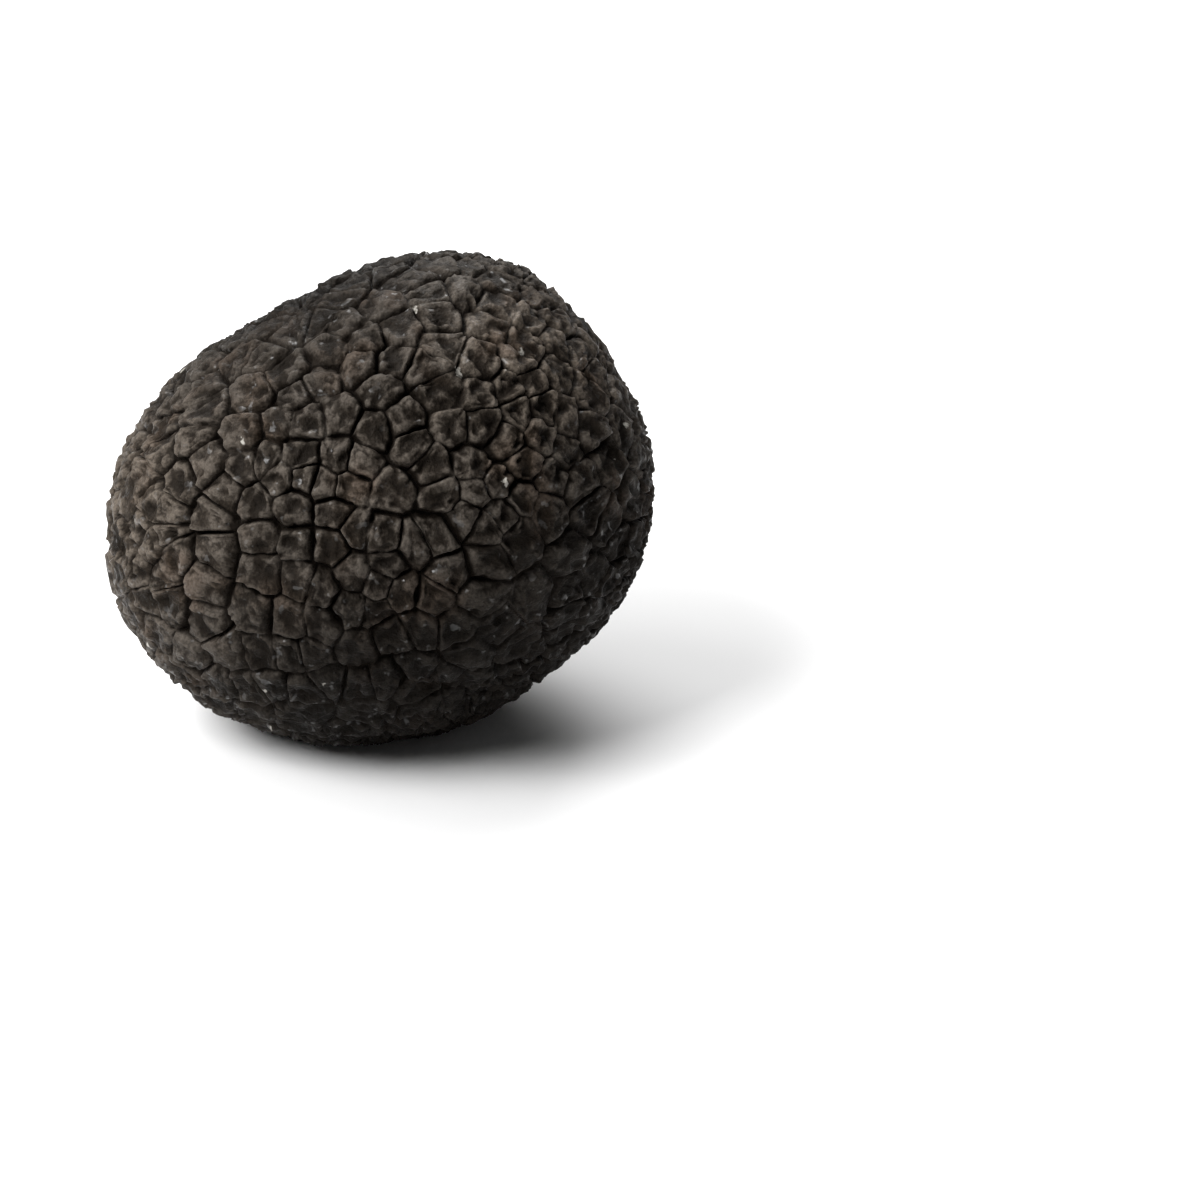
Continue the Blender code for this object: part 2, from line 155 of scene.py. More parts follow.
# The height of the warts, as in the solid.
PEAK_RISE = (-0.25 * MM, 0.35 * MM)
PEAK_SHIFT = 0.13
SHOULDER_DROP = (0.05 * MM, 0.30 * MM)
GROOVE_DEPTH = (0.45 * MM, 0.85 * MM)
FURROW_EXTRA = 0.6 * MM
FURROW_REACH = 1.0 * MM
OTHER_FURROWS = 1.7
OTHER_FURROWS_WIDTH = 0.10
EDGE_OF_FRONT = 0.45

# The fine shape of the warts. Places on a wart are shares of the way from its peak to its grooves.
ROWS = 7  # rows of points from the peak to the groove
ROW_BUNCHING = 1.55  # above 1, the rows are closer near the groove
SHOULDER_AT = 0.88
WIDER_WHEN_DEEP = 0.12 / MM  # how much nearer the peak it is where the groove is a millimetre deeper
MIDDLING_DEPTH = 0.70 * MM
ROUND_CORNERS = 0.04  # how much nearer the peak the shoulder is at a corner
CORNER_POWER = 4  # the higher, the less of each side belongs to its corners
WALL_CURVE = 0.85  # below 1, a groove is wide and its walls are steepest at the shoulder
SIDE_DEPTH = (-0.28 * MM, 0.24 * MM)  # how much deeper, or shallower, a groove is midway than at its ends
CROOKED = 0.17 * MM  # how far the grooves jog, finely
CROOKED_FREQUENCY = 20.0
NOISE_APART = 7  # how far off the noise is read for each axis, so that the three differ
TILT = 0.07  # spread of the slopes of whole warts
INSIDE_POWER = 5  # the higher, the nearer its grooves a wart's own relief reaches
KNOB_SHARE = 0.8  # share of a wart's corners with a knob inside them
KNOB_AT = (0.34, 0.76)
KNOB_HEIGHT = (0.10 * MM, 0.42 * MM)
KNOB_RADIUS = (0.24, 0.42)  # share of the wart's radius
DISH_DEPTH = (-0.25 * MM, 0.45 * MM)  # how far a wart's middle is sunk between its knobs, or raised
DISH_RADIUS = 0.75
NOTCH_DEPTH = (-0.05 * MM, 0.30 * MM)  # how much lower the middle of a wart's side is than its corners
PIT_SHARE = 0.6  # share of the warts with a pit
PIT_DEPTH = (0.25 * MM, 0.80 * MM)
PIT_RADIUS = (0.28 * MM, 0.50 * MM)
PIT_OFF_PEAK = 0.3  # spread of the pits' places off the peak, as a share of the wart's radius
CRACK_SHARE = 0.6  # share of the warts with a crack
CRACK_DEPTH = (0.3 * MM, 0.80 * MM)
CRACK_WIDTH = 0.30 * MM
CRACK_OFF_PEAK = 0.2  # spread of the cracks' lines off the peak, as a share of the wart's radius
CRACK_END = (-0.3, 0.4)  # where a crack's inner end is, as shares of the wart's radius
CRACK_FADE = 0.4 * MM  # how far from that end it has its whole depth
CRACK_WANDER = 0.4 * MM
CRACK_WANDER_FREQUENCY = 26
CRACK_NOISE_APART = 9
RIM_HEIGHT = (-0.06 * MM, 0.30 * MM)  # a ridge along each side of a wart, just inside its shoulder
RIM_AT = 0.78
RIM_WIDTH = 0.10
# the shoulders' wear and painted highlight, in colour only
SHOULDER_WEAR_HIGHLIGHT = 0.06 * MM  # the material alone takes the shoulders to stand out by so much more
SHOULDER_WEAR_HIGHLIGHT_INSIDE = 0.04  # how far inside the shoulder that is
SHOULDER_WEAR_HIGHLIGHT_WIDTH = 0.09
GRAIN_SIZE = 1.25 * MM  # small lumps crowded together all over the skin
GRAIN_DEPTH = 0.25 * MM
GRAIN_CREASE = 0.30  # width of the creases between them, as a share of their size
GRAIN_IN_CREASES = 0.6  # share of that depth that the creases have
GRAIN_IN_DOMES = 0.4  # share of it by which the lumps' sides fall away
GRAIN_IN_GROOVES = 0.3  # share of the depth left at the bottom of the grooves
CREST_SIZE = 1.7 * MM  # long sharp crests that wander all over the skin
CREST_HEIGHT = 0.34 * MM
CREST_WIDTH = 0.30
CREST_MIDDLE = 0.5  # share of their height that is at the skin's own level
ROUGHNESS_WAVES = ((1 / (1.7 * MM), 0.05 * MM), (1 / (0.8 * MM), 0.05 * MM))  # frequency and height of each
WORN_ABOVE = 0.12 * MM  # what stands higher is worn down to a share of its height
WORN_SHARE = 0.3
LIFT = 0.28 * MM  # raises the whole skin, which brings its outline out to the photograph's
PRESSED_GROOVES = 0.55  # share of a groove's depth left where the truffle is pressed on the table
GROOVE_TINT = 0.5  # the warts' tints are from 0 to 1
STREAKS_APART = 50  # how far off each other the streaks of the lightest and the darkest wart are read

# Where the skin is dustier and painted lighter, or painted darker as shade: painted light and shade by
# direction, with dust. Each direction, its strength, and its spread in degrees.
DUST_AND_PAINTED_LIGHT = (
    ((-158, 10), 0.72, 34),
    ((60, 72), -0.78, 42),
    ((165, 48), -0.62, 32),
    ((-20, 48), 1.15, 30),
    ((-88, 22), 0.38, 26),
    ((-80, -36), -1.02, 42),
    ((-20, -10), -0.80, 35),
    ((0, -90), -0.30, 50),
)

# The skin's colours.
DARK_GROUND = (0.0160, 0.0122, 0.0090, 1)
LIGHT_GROUND = (0.0265, 0.0206, 0.0156, 1)
DARK_BROWN = (0.0230, 0.0158, 0.0104, 1)
LIGHT_BROWN = (0.0340, 0.0234, 0.0154, 1)
# wear and a painted highlight: the paler colour where the skin stands out
WORN_HIGHLIGHT = (0.090, 0.0770, 0.0645, 1)
WORN_HIGHLIGHT_DUSTY = (0.096, 0.0790, 0.0630, 1)
WORN_HIGHLIGHT_BROWN = (0.096, 0.0740, 0.0580, 1)
# painted shade in the grooves
PAINTED_GROOVE_SHADE = (0.0050, 0.0036, 0.0025, 1)
# painted glints
PAINTED_GLINT_COLOUR = (0.42, 0.40, 0.36, 1)
SPECULAR_TINT = (1.0, 0.88, 0.77, 1)

# Sizes of the noises in the finish, in millimetres. The streaks' is on a circle of radius 1 round the peak.
FINE_SIZE = 0.35
MOTTLE_SIZE = 1.1
MOIST_SIZE = 1.2
PATCH_SIZE = 7.0
STREAK_SIZE = 0.28

# Where each thing in the finish begins and is whole. Heights and depths are in millimetres.
PATCH_EDGE = (0.5, 0.68)
BROWN_MOTTLE = (0.35, 0.7)
FULL_DUST = 0.8
# wear and a painted highlight: where it begins and is whole
WORN_HIGHLIGHT_EDGE = (0.22, 0.85)
WORN_HIGHLIGHT_BY_FINE = 0.5
WORN_HIGHLIGHT_BY_MOTTLE = 0.8
# painted shade in the grooves: where it begins and is whole
PAINTED_GROOVE_SHADE_EDGE = (0.36, 0.88)
MOIST_EDGE = (0.64, 0.70)
SHINE_EDGE = (0.40, 0.62)

# A range of a sign, and the brightness that it gives at each end.
# painted light and shade by direction: the colour is brighter or darker by where the skin faces
PAINTED_LIGHT_AND_SHADE = ((-0.8, 0.8), (0.12, 1.22))
# painted shade: darker in the hollows
PAINTED_HOLLOW_SHADE = ((-0.10, -0.60), (1.0, 0.45))
SPECKLE_BRIGHTNESS = ((0.35, 0.65), (0.70, 1.30))

# The gloss, and the heights of the bump in millimetres.
DULL_TO_SHINY = (0.66, 0.40)
SPECULAR_LEVEL = 0.09
MOIST_COAT = 0.75
COAT_ROUGHNESS = 0.33
BUMP_STRENGTH = 0.9
FINE_BUMP = 0.18
STREAK_BUMP = 0.06
MOTTLE_BUMP = 0.40

# Painted glints: pale flecks here and there. The size of the cells that may have one, in millimetres, and the
# share that do.
PAINTED_GLINT_SPACING = 2.2
PAINTED_GLINT_SHARE = 0.045
PAINTED_GLINT_SHARE_EDGE = 0.002
PAINTED_GLINT_RADIUS = (0.19, 0.10)  # in cells: where it begins, and where it is whole
PAINTED_GLINT_WOBBLE = 1.1
PAINTED_GLINT_WOBBLE_FREQUENCY = 1.6
PAINTED_GLINT_SQUEEZE = (1.5, 1.1, 0.7)

# Each light's name, azimuth and elevation in degrees, distance and width in metres, and power in watts.
SOFTBOXES = (
    ("key_light", -145, 45, 0.60, 0.32, 4.4),
    ("left_light", 180, 45, 0.60, 0.50, 2.2),
    ("back_light", 90, 50, 0.60, 0.50, 4.4),
)
WHITE = (1.0, 1.0, 1.0, 1)
WORLD_STRENGTH = 0.08
FLOOR_RADIUS = 3.0
FLOOR_COLOUR = (0.90, 0.90, 0.90, 1)
FLOOR_ROUGHNESS = 0.7
FLOOR_SPECULAR_LEVEL = 0.2

# The photograph, 1200 pixels square: where the truffle's centre is, and the width it shows there.
PHOTO_SIZE = 1200
PHOTO_CENTRE = (383, 500)
PHOTO_WIDTH = 120 * MM
SENSOR_WIDTH = 36  # millimetres, as Blender gives it

RIGHT = Vector((1, 0, 0))
PICTURE_UP = Vector((0, math.sin(VIEW_TILT), math.cos(VIEW_TILT)))
TOWARDS = Vector((0, -math.cos(VIEW_TILT), math.sin(VIEW_TILT)))
MEAN_RADIUS = sum(OUTLINE) / len(OUTLINE)
OUTLINE_WAVES = np.fft.rfft(OUTLINE) / len(OUTLINE)


def pointing(azimuth, elevation):
    """The unit vector of a direction in degrees."""
    a, e = math.radians(azimuth), math.radians(elevation)
    return Vector((math.cos(a) * math.cos(e), math.sin(a) * math.cos(e), math.sin(e)))


SWELLING_WAYS = [(pointing(*place), height, math.radians(spread)) for place, height, spread in SWELLINGS]
FOLD_STOPS = [pointing(*place) for place in FOLD]
DUST_AND_PAINTED_LIGHT_WAYS = [(pointing(*place), strength, math.radians(spread)) for place, strength, spread in DUST_AND_PAINTED_LIGHT]


def bump(way, direction, spread):
    """1 in a direction, falling off smoothly round it."""
    return math.exp(-((way.angle(direction) / spread) ** 2))


def angle_to_path(way, stops):
    """The angle from a unit vector to the nearest point of a path from stop to stop."""
    angles = []
    for a, b in zip(stops, stops[1:]):
        share = (way - a).dot(b - a) / (b - a).length_squared
        angles.append(way.angle(a.lerp(b, min(max(share, 0), 1))))
    return min(angles)


def outline_radius(angle):
    """A smooth closed curve through the outline's radii."""
    radius = OUTLINE_WAVES[0].real
    for wave, strength in enumerate(OUTLINE_WAVES[1:], 1):
        share = 1 if wave == len(OUTLINE) // 2 else 2
        radius += share * (strength * np.exp(1j * wave * angle)).real
    return radius


def seen_at(across, up):
    """The direction of the body's point that is seen from the front at a place, in millimetres there."""
    place = Vector((across, up)) * MM
    edge = outline_radius(math.atan2(up, across))
    towards = HALF_DEPTH * math.sqrt(1 - place.length_squared / edge**2)
    place *= 1 - towards / VIEW_DISTANCE
    return (RIGHT * place.x + PICTURE_UP * place.y + TOWARDS * towards).normalized()


def body_radius(way):
    """The distance from the centre to the level of the wart tops, along a unit vector."""
    across, up, towards = way.dot(RIGHT), way.dot(PICTURE_UP), way.dot(TOWARDS)
    depth = HALF_DEPTH - BACK_IS_DEEPER * towards
    edge = outline_radius(math.atan2(up, across))
    radius = 1 / math.sqrt((across**2 + up**2) / edge**2 + (towards / depth) ** 2)
    for direction, height, spread in SWELLING_WAYS:
        radius += height * bump(way, direction, spread)
    radius -= FOLD_DEPTH * math.exp(-((angle_to_path(way, FOLD_STOPS) / FOLD_SPREAD) ** 2))
    return radius + UNDULATION * noise.noise(way * UNDULATION_FREQUENCY)


def shifted(way, frequency, reach):
    """A direction led a little astray, smoothly."""
    spot = way * frequency
    shift = Vector([noise.noise(spot + axis * NOISE_APART) for axis in (RIGHT, PICTURE_UP, TOWARDS)])
    return (way + shift * reach / MEAN_RADIUS).normalized()


def strayed(way):
    """The solid's own wander of the grooves, with finer jogs on top."""
    return shifted(shifted(way, WANDER_FREQUENCY, WANDER), CROOKED_FREQUENCY, CROOKED)


def surface_point(way, height):
    """The point at a height above the wart tops' level. On the table, the grooves stay open."""
    reach = body_radius(way) + height
    if way.z < 0:
        pressed = -CENTRE.z / way.z - PRESSED_GROOVES * max(0, -height - SHOULDER_DROP[1])
        reach = min(reach, pressed)
    return CENTRE + way * reach


FURROW_STOPS = [[seen_at(*place) for place in line] for line in FURROWS]


def furrow_depth(way):
    """The extra depth of a groove where one of the furrows runs."""
    off_line = 1
    if way.dot(TOWARDS) < EDGE_OF_FRONT:
        off_line = abs(noise.noise(way * OTHER_FURROWS)) / OTHER_FURROWS_WIDTH
    for line in FURROW_STOPS:
        angle = angle_to_path(way, line)
        off_line = min(off_line, (angle * MEAN_RADIUS / FURROW_REACH) ** 2)
    return FURROW_EXTRA * max(0, 1 - off_line)


def wart_density(way):
    """How close the warts are in a direction: alike over the body's true surface, but for the crowds."""
    extra = sum(share * bump(way, pointing(*place), math.radians(spread)) for place, share, spread in CROWDS)
    return body_radius(way) ** 2 * (1 + extra)


def drawn_way(draw):
    """A direction at random, more often where warts are crowded."""
    while True:
        way = Vector([draw.gauss(0, 1) for _ in range(3)]).normalized()
        if draw.random() < wart_density(way) / MOST_CROWDED:
            return way


def meeting_warts(middles):
    """The warts that meet in threes, by number: the triangles of the hull of their middles."""
    hull = bmesh.new()
    number = {hull.verts.new(middle): wart for wart, middle in enumerate(middles)}
    bmesh.ops.convex_hull(hull, input=hull.verts)
    threes = sorted(tuple(sorted(number[vert] for vert in face.verts)) for face in hull.faces)
    hull.free()
    return threes


def meeting_way(middles, three):
    """The direction that is as far from each of three warts' middles as from the other two."""
    a, b, c = [middles[wart] for wart in three]
    way = (b - a).cross(c - a).normalized()
    return way if way.dot(a + b + c) > 0 else -way


def wart_middles():
    """A direction for each wart: those of the front, and the others drawn at random and then evened out."""
    draw = random.Random(SEED)
    front = [seen_at(*place) for place in FRONT_WARTS]
    middles = list(front)
    while len(middles) < WARTS:
        way = drawn_way(draw)
        if all(way.angle(other) * MEAN_RADIUS > CLEAR_OF_FRONT for other in front):
            middles.append(way)
    for _ in range(SPACING_ROUNDS):
        corners_sum = [Vector() for _ in middles]
        for three in meeting_warts(middles):
            for wart in three:
                corners_sum[wart] += meeting_way(middles, three)
        middles = front + [total.normalized() for total in corners_sum[len(front):]]
    return middles


def joined_corners(threes, ways):
    """For each corner, the number of the one that stands for it. Two at a too short side are one."""
    stands_for = list(range(len(ways)))

    def first(corner):
        while stands_for[corner] != corner:
            corner = stands_for[corner]
        return corner

    side_end = {}
    for corner, three in enumerate(threes):
        for side in itertools.combinations(three, 2):
            other = side_end.setdefault(side, corner)
            if other != corner and ways[corner].angle(ways[other]) * MEAN_RADIUS < LEAST_SIDE:
                stands_for[first(corner)] = first(other)
    return [first(corner) for corner in range(len(ways))]


def wart_layout():
    """Each wart's middle with the corners round it, anticlockwise from outside, and the corners' ways."""
    middles = wart_middles()
    threes = meeting_warts(middles)
    ways = [meeting_way(middles, three) for three in threes]
    stands_for = joined_corners(threes, ways)

    joined = {}
    around = [[] for _ in middles]
    for corner, three in enumerate(threes):
        joined.setdefault(stands_for[corner], []).append(ways[corner])
        for wart in three:
            around[wart].append(corner)
    corner_way = {corner: sum(joined[corner], Vector()).normalized() for corner in sorted(joined)}

    warts = []
    for middle, corners in zip(middles, around):
        east = middle.orthogonal().normalized()
        north = middle.cross(east)
        corners.sort(key=lambda corner: math.atan2(ways[corner].dot(north), ways[corner].dot(east)))
        ring = [stands_for[corner] for corner in corners]
        ring = [corner for corner, before in zip(ring, ring[-1:] + ring[:-1]) if corner != before]
        if len(ring) > 2:
            warts.append((middle, ring))
    return warts, corner_way


class Wart:
    """One wart: its place, the height of its peak and shoulders, and what sets it apart from the next."""

    def __init__(self, middle, ring, corner_way, draw, detail):
        size = sum(corner_way[corner].angle(middle) for corner in ring) / len(ring)
        lean = Vector([draw.gauss(0, 1) for _ in range(3)]) * PEAK_SHIFT * size
        self.ring = ring
        self.middle = (middle + lean).normalized()
        self.peak = draw.uniform(*PEAK_RISE)
        self.drop = draw.uniform(*SHOULDER_DROP)
        self.east = self.middle.orthogonal().normalized()
        self.north = self.middle.cross(self.east)
        self.size = size * MEAN_RADIUS
        self.tint = detail.random()
        self.slope = (detail.gauss(0, TILT), detail.gauss(0, TILT))
        self.dish = detail.uniform(*DISH_DEPTH)
        self.knobs = [self.drawn_knob(corner_way[corner], detail) for corner in ring]
        self.notches = [detail.uniform(*NOTCH_DEPTH) for _ in ring]
        self.rims = [max(0, detail.uniform(*RIM_HEIGHT)) for _ in ring]
        self.pit_depth = detail.uniform(*PIT_DEPTH) if detail.random() < PIT_SHARE else 0
        self.pit_radius = detail.uniform(*PIT_RADIUS)
        self.pit_at = [detail.gauss(0, PIT_OFF_PEAK) * self.size for _ in range(2)]
        self.crack_depth = detail.uniform(*CRACK_DEPTH) if detail.random() < CRACK_SHARE else 0
        self.crack_turn = detail.uniform(0, 2 * math.pi)
        self.crack_off = detail.gauss(0, CRACK_OFF_PEAK) * self.size
        self.crack_end = detail.uniform(*CRACK_END) * self.size

    def drawn_knob(self, corner, detail):
        """A knob's place, height and radius, on the way from the peak to a corner."""
        at = detail.uniform(*KNOB_AT)
        x, y = self.place(self.middle.lerp(corner, at).normalized())
        height = detail.uniform(*KNOB_HEIGHT) if detail.random() < KNOB_SHARE else 0
        return x, y, height, detail.uniform(*KNOB_RADIUS) * self.size

    def place(self, way):
        """Where a direction is on the wart, east and north of its peak, in metres."""
        return way.dot(self.east) * MEAN_RADIUS, way.dot(self.north) * MEAN_RADIUS

    def knob_rise(self, x, y):
        """The height of the knobs at a place, over the dish between them. Both are blunt cones."""
        dish = self.dish * max(0, 1 - math.hypot(x, y) / (DISH_RADIUS * self.size))
        knobs = [h * (1 - math.hypot(x - at_x, y - at_y) / radius) for at_x, at_y, h, radius in self.knobs]
        return max(0, *knobs) - dish

    def hole_depth(self, way, x, y):
        """The depth of the wart's pit and crack at a place."""
        off_pit = math.hypot(x - self.pit_at[0], y - self.pit_at[1]) / self.pit_radius
        depth = self.pit_depth * math.exp(-(off_pit**2))
        across = x * math.cos(self.crack_turn) + y * math.sin(self.crack_turn) - self.crack_off
        onward = y * math.cos(self.crack_turn) - x * math.sin(self.crack_turn) - self.crack_end
        across += noise.noise(way * CRACK_WANDER_FREQUENCY + self.east * CRACK_NOISE_APART) * CRACK_WANDER
        reach = min(max(onward / CRACK_FADE, 0), 1)
        return max(depth, self.crack_depth * reach * math.exp(-((across / CRACK_WIDTH) ** 2)))

    def height(self, way, share, along, depth, notch, rim_height):
        """The height at a share of the way to the groove, and how far it stands out there, as a height, for
        the wear, the painted highlight and the painted shade in the hollows.
        """
        cornered = abs(2 * along - 1)
        shoulder = SHOULDER_AT - ROUND_CORNERS * cornered**CORNER_POWER
        shoulder -= WIDER_WHEN_DEEP * (depth - MIDDLING_DEPTH)
        if share < shoulder:
            height = self.peak - (self.peak + self.drop) * share / shoulder
        else:
            fall = ((share - shoulder) / (1 - shoulder)) ** WALL_CURVE
            height = -self.drop - (depth - self.drop) * fall
        x, y = self.place(way)
        inside = 1 - share**INSIDE_POWER
        rise = inside * (self.knob_rise(x, y) - self.hole_depth(way, x, y))
        rise -= inside * notch * (1 - cornered) * share
        rise += rim_height * math.exp(-(((share - RIM_AT) / RIM_WIDTH) ** 2))
        off_wear_highlight = (share - shoulder + SHOULDER_WEAR_HIGHLIGHT_INSIDE) / SHOULDER_WEAR_HIGHLIGHT_WIDTH
        height += rise + inside * (self.slope[0] * x + self.slope[1] * y)
        return height, rise + SHOULDER_WEAR_HIGHLIGHT * math.exp(-(off_wear_highlight**2))


def roughness(way):
    """The fine unevenness of the skin, in metres, with its crests."""
    spot = way * MEAN_RADIUS
    crest = max(0, 1 - abs(noise.noise(spot / CREST_SIZE)) / CREST_WIDTH)
    waves = sum(height * noise.noise(spot * frequency) for frequency, height in ROUGHNESS_WAVES)
    return CREST_HEIGHT * (crest - CREST_MIDDLE) + waves


def grain_rise(way):
    """How far below the top of the small lumps a place is, as a height: zero or less."""
    nearest, second = noise.voronoi(way * MEAN_RADIUS / GRAIN_SIZE)[0][:2]
    crease = max(0, 1 - (second - nearest) / GRAIN_CREASE)
    return -GRAIN_DEPTH * (GRAIN_IN_CREASES * crease + GRAIN_IN_DOMES * nearest * nearest)


def painted_light_and_dust(way):
    """How much lighter and dustier the skin is in a direction, the lighter part being painted light. Below
    zero it is darker: painted shade.
    """
    return sum(strength * bump(way, direction, spread) for direction, strength, spread in DUST_AND_PAINTED_LIGHT_WAYS)


def row_share(row):
    """The share of the way from the peak to the groove at a row."""
    return 1 - (1 - row / ROWS) ** ROW_BUNCHING


class Skin:
    """The points and faces of the fine skin, with what each point tells the material."""

    def __init__(self):
        self.points = []
        self.faces = []
        self.depths = []
        self.relief_for_wear_and_painted_light = []
        self.dust_and_painted_light = []
        self.tints = []
        self.arounds = []
        self.groove = {}
        self.groove_depth = {}

    def add(self, way, height, rise, tint, around):
        """Adds a point at a height over the body's level, and gives its number."""
        open_share = min(1, max(0, 1 + (height + SHOULDER_DROP[1]) / MIDDLING_DEPTH))
        grain = grain_rise(way) * (GRAIN_IN_GROOVES + (1 - GRAIN_IN_GROOVES) * open_share)
        rough = roughness(way) + grain
        level = height + rough
        if level > WORN_ABOVE:
            level = WORN_ABOVE + (level - WORN_ABOVE) * WORN_SHARE
        self.points.append(surface_point(way, level + LIFT))
        self.depths.append((-height - grain) / MM)
        # how far the point stands out: it sets the wear, the painted highlight and the painted shade in the
        # hollows
        self.relief_for_wear_and_painted_light.append((rise + rough + grain) / MM)
        self.dust_and_painted_light.append(painted_light_and_dust(way))
        self.tints.append(tint)
        self.arounds.append(around)
        return len(self.points) - 1

    def add_grooves(self, warts, corner_way, plain_depth, detail):
        """Adds the points along each groove between two corners, shared by the warts on its two sides."""
        corner_point = {}
        corner_depth = {}
        for corner, way in corner_way.items():
            corner_depth[corner] = plain_depth[corner] + furrow_depth(way)
            corner_point[corner] = self.add(strayed(way), -corner_depth[corner], 0, GROOVE_TINT, (0, 0, 0))
        sides = set()
        for wart in warts:
            for a, b in zip(wart.ring, wart.ring[1:] + wart.ring[:1]):
                sides.add((min(a, b), max(a, b)))
        for a, b in sorted(sides):
            extra = detail.uniform(*SIDE_DEPTH)
            numbers = [corner_point[a]]
            depths = [corner_depth[a]]
            for step in range(1, ROWS):
                along = step / ROWS
                way = corner_way[a].lerp(corner_way[b], along).normalized()
                depth = plain_depth[a] + (plain_depth[b] - plain_depth[a]) * along + furrow_depth(way)
                depth += extra * 4 * along * (1 - along)
                numbers.append(self.add(strayed(way), -depth, 0, GROOVE_TINT, (0, 0, 0)))
                depths.append(depth)
            numbers.append(corner_point[b])
            depths.append(corner_depth[b])
            self.groove[a, b] = numbers
            self.groove[b, a] = numbers[::-1]
            self.groove_depth[a, b] = depths
            self.groove_depth[b, a] = depths[::-1]

    def add_wart(self, wart, corner_way):
        """Adds a wart's points, row by row from its peak, and the triangles between the rows."""
        ring = wart.ring
        count = len(ring)
        sides = list(zip(ring, ring[1:] + ring[:1]))
        height, rise = wart.height(wart.middle, 0, 0.5, MIDDLING_DEPTH, 0, 0)
        streaks_at = wart.tint * STREAKS_APART
        rows = [[self.add(strayed(wart.middle), height, rise, wart.tint, (0, 0, streaks_at))]]
        for row in range(1, ROWS):
            share = row_share(row)
            numbers = []
            for (a, b), notch, rim in zip(sides, wart.notches, wart.rims):
                depths = self.groove_depth[a, b]
                for step in range(row):
                    along = step / row
                    depth = depths[round(along * ROWS)]
                    edge = corner_way[a].lerp(corner_way[b], along)
                    way = strayed(wart.middle.lerp(edge, share).normalized())
                    x, y = wart.place(way)
                    spread = math.hypot(x, y) or 1
                    around = (x / spread, y / spread, streaks_at)
                    height, rise = wart.height(way, share, along, depth, notch, rim)
                    numbers.append(self.add(way, height, rise, wart.tint, around))
            rows.append(numbers)
        rows.append([number for side in sides for number in self.groove[side][:-1]])

        for row in range(1, ROWS + 1):
            outer, inner = rows[row], rows[row - 1]
            for side in range(count):
                for step in range(row):
                    start = outer[side * row + step]
                    end = outer[(side * row + step + 1) % (count * row)]
                    near = inner[(side * (row - 1) + step) % max(1, count * (row - 1))]
                    self.faces.append((near, start, end))
                    if step < row - 1:
                        far = inner[(side * (row - 1) + step + 1) % (count * (row - 1))]
                        self.faces.append((near, end, far))

    def mesh(self):
        """The skin as a mesh, with what the material reads from its points."""
        made = bpy.data.meshes.new("truffle_skin")
        made.from_pydata(self.points, [], self.faces)
        made.shade_smooth()
        told = {"depth": self.depths, "relief_for_wear_and_painted_light": self.relief_for_wear_and_painted_light, "dust_and_painted_light": self.dust_and_painted_light, "tint": self.tints}
        for name, values in told.items():
            made.attributes.new(name, "FLOAT", "POINT").data.foreach_set("value", values)
        around = [part for vector in self.arounds for part in vector]
        made.attributes.new("around", "FLOAT_VECTOR", "POINT").data.foreach_set("vector", around)
        return made


def make_truffle():
    """The whole skin: first the grooves that the warts share, then each wart between its grooves."""
    draw = random.Random(SEED + 1)
    detail = random.Random(SEED + 2)
    layout, corner_way = wart_layout()
    plain_depth = {corner: draw.uniform(*GROOVE_DEPTH) for corner in corner_way}
    warts = [Wart(middle, ring, corner_way, draw, detail) for middle, ring in layout]
    skin = Skin()
    skin.add_grooves(warts, corner_way, plain_depth, detail)
    for wart in warts:
        skin.add_wart(wart, corner_way)
    truffle = bpy.data.objects.new("truffle_skin", skin.mesh())
    bpy.context.scene.collection.objects.link(truffle)
    return truffle


def add_node(tree, kind, inputs=(), **settings):
    """A node of a kind. Each input is given by name or number, with a value or another node's output."""
    made = tree.nodes.new("ShaderNode" + kind)
    for name, value in settings.items():
        setattr(made, name, value)
    for name, value in dict(inputs).items():
        if isinstance(value, bpy.types.NodeSocket):
            tree.links.new(value, made.inputs[name])
        else:
            made.inputs[name].default_value = value
    return made


def grain(tree, place, size, detail=3.0, roughness=0.5):
    """Noise from 0 to 1 with features of a size in millimetres."""
    settings = {"Vector": place, "Scale": 1 / size, "Detail": detail, "Roughness": roughness}
    return add_node(tree, "TexNoise", settings).outputs["Fac"]


def between(tree, value, low, high):
    """0 up to a low value, 1 from a high one, and smooth in between."""
    settings = {"Value": value, "From Min": low, "From Max": high}
    return add_node(tree, "MapRange", settings, interpolation_type="SMOOTHSTEP").outputs["Result"]


def blend(tree, factor, first, second):
    """A colour mixed from two by a factor."""
    made = add_node(tree, "Mix", data_type="RGBA")
    for number, value in ((0, factor), (6, first), (7, second)):
        if isinstance(value, bpy.types.NodeSocket):
            tree.links.new(value, made.inputs[number])
        else:
            made.inputs[number].default_value = value
    return made.outputs[2]


def worked_out(tree, first, second, operation):
    """A sum, a difference or a product of two values."""
    return add_node(tree, "Math", {0: first, 1: second}, operation=operation).outputs[0]


def plus(tree, first, second):
    return worked_out(tree, first, second, "ADD")


def times(tree, first, second):
    return worked_out(tree, first, second, "MULTIPLY")


def scaled(tree, vector, factor):
    """A colour or a place times a number."""
    return add_node(tree, "VectorMath", {0: vector, "Scale": factor}, operation="SCALE").outputs[0]


def led(tree, value, from_range, to_range=(0.0, 1.0)):
    """A value led evenly from one range to another, and held at its ends."""
    settings = {"Value": value, "From Min": from_range[0], "From Max": from_range[1]}
    settings.update({"To Min": to_range[0], "To Max": to_range[1]})
    return add_node(tree, "MapRange", settings).outputs["Result"]


